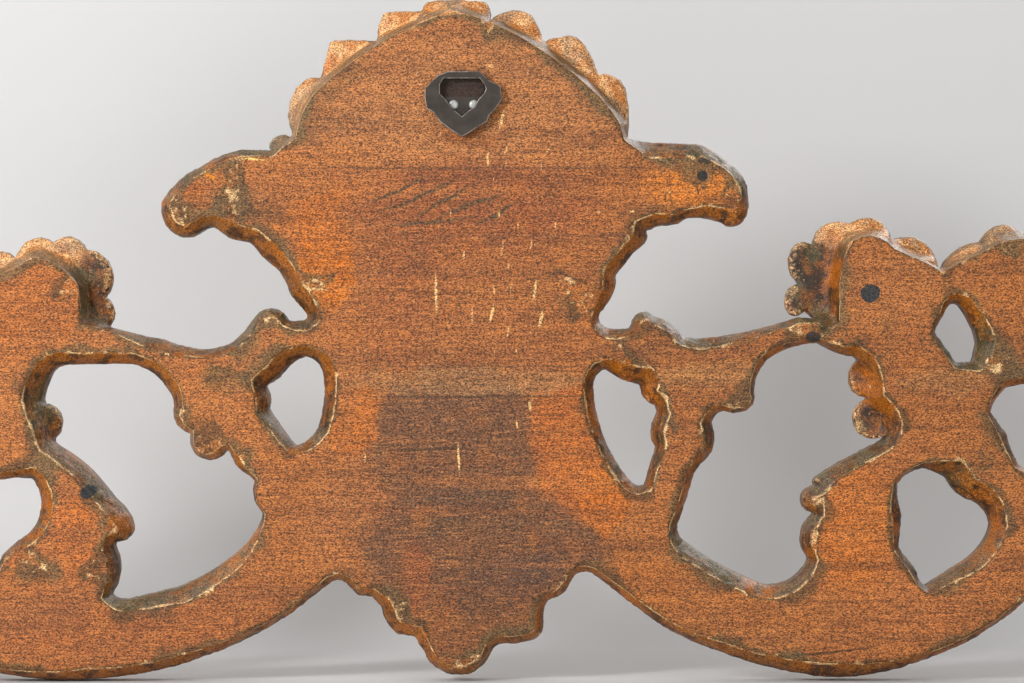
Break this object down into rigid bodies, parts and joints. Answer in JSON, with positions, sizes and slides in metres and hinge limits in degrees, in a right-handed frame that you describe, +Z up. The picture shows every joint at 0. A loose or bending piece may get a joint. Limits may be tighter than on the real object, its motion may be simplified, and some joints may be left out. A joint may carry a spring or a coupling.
{
  "type": "carved overdoor panel",
  "caption": "Pierced carved wooden overdoor panel with shell crest, scrolls and flowers, flat back with a steel hanger plate.",
  "frame": {"origin": "on the outer face of the steel hanger plate, just below its opening, where the panel hangs on its wall", "axes": "+Y out of the flat back towards the wall, the carved front faces -Y, +X to the right as seen from the front, +Z up"},
  "size_m": [0.87, 0.0436, 0.3428],
  "materials": {
    "carved_wood": "aged bare softwood back, stained gouge-cut edges",
    "plate_steel": "blackened steel, satin",
    "nail_steel": "bright worn steel"
  },
  "bodies": {
    "root": {"carved_panel": "carved_wood", "hanger_plate": "plate_steel", "nail_left": "nail_steel", "nail_right": "nail_steel"}
  },
  "joints": []
}
